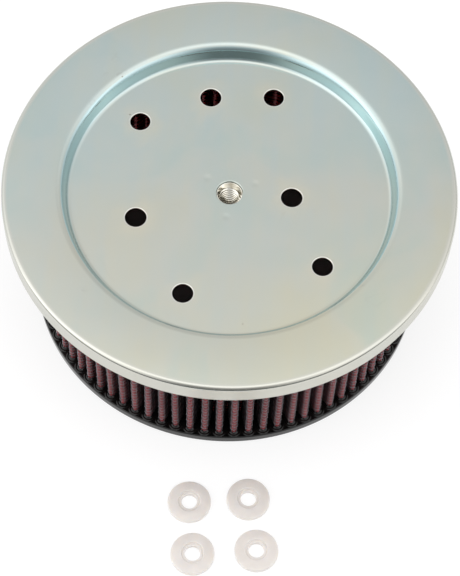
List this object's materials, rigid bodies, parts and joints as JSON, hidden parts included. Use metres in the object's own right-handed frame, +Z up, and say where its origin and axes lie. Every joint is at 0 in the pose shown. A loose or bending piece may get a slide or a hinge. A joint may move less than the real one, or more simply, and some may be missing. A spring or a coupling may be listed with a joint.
{
  "type": "air filter",
  "caption": "Round pleated gauze air filter element with a recessed zinc plated top pan, a threaded centre, plain bolt holes and a black sealing ring, with loose nylon washers.",
  "frame": {"origin": "centre of the base ring's sealing face, on the filter's axis, at the level it stands on", "axes": "+Z up along the filter's axis, from the sealing face to the top pan; X and Y along the short and long sides of the bolt hole rectangle, with the loose washers towards -Y"},
  "size_m": [0.178, 0.2229, 0.0678],
  "materials": {
    "zinc_plated_steel": "pale zinc plate with a faint yellow and blue iridescence, satin",
    "bright_steel": "machined and plated",
    "black_urethane": "glossy, cast",
    "wire_mesh": "fine woven wire, epoxy coated",
    "red_gauze": "oiled cotton gauze, dyed red",
    "nylon": "translucent natural nylon"
  },
  "bodies": {
    "filter": {"top_pan": "zinc_plated_steel", "weld_nut": "bright_steel", "top_potting": "black_urethane", "outer_mesh": "wire_mesh", "gauze": "red_gauze", "inner_mesh": "wire_mesh", "base_ring": "black_urethane"},
    "washer_1_body": {"washer_1": "nylon"},
    "washer_2_body": {"washer_2": "nylon"},
    "washer_3_body": {"washer_3": "nylon"},
    "washer_4_body": {"washer_4": "nylon"}
  },
  "joints": [
    {"name": "washer_1_lift", "type": "slide", "parent": "filter", "child": "washer_1_body", "axis": [0, 0, 1], "range_m": [0, 0.06]},
    {"name": "washer_2_lift", "type": "slide", "parent": "filter", "child": "washer_2_body", "axis": [0, 0, 1], "range_m": [0, 0.06]},
    {"name": "washer_3_lift", "type": "slide", "parent": "filter", "child": "washer_3_body", "axis": [0, 0, 1], "range_m": [0, 0.06]},
    {"name": "washer_4_lift", "type": "slide", "parent": "filter", "child": "washer_4_body", "axis": [0, 0, 1], "range_m": [0, 0.06]}
  ]
}
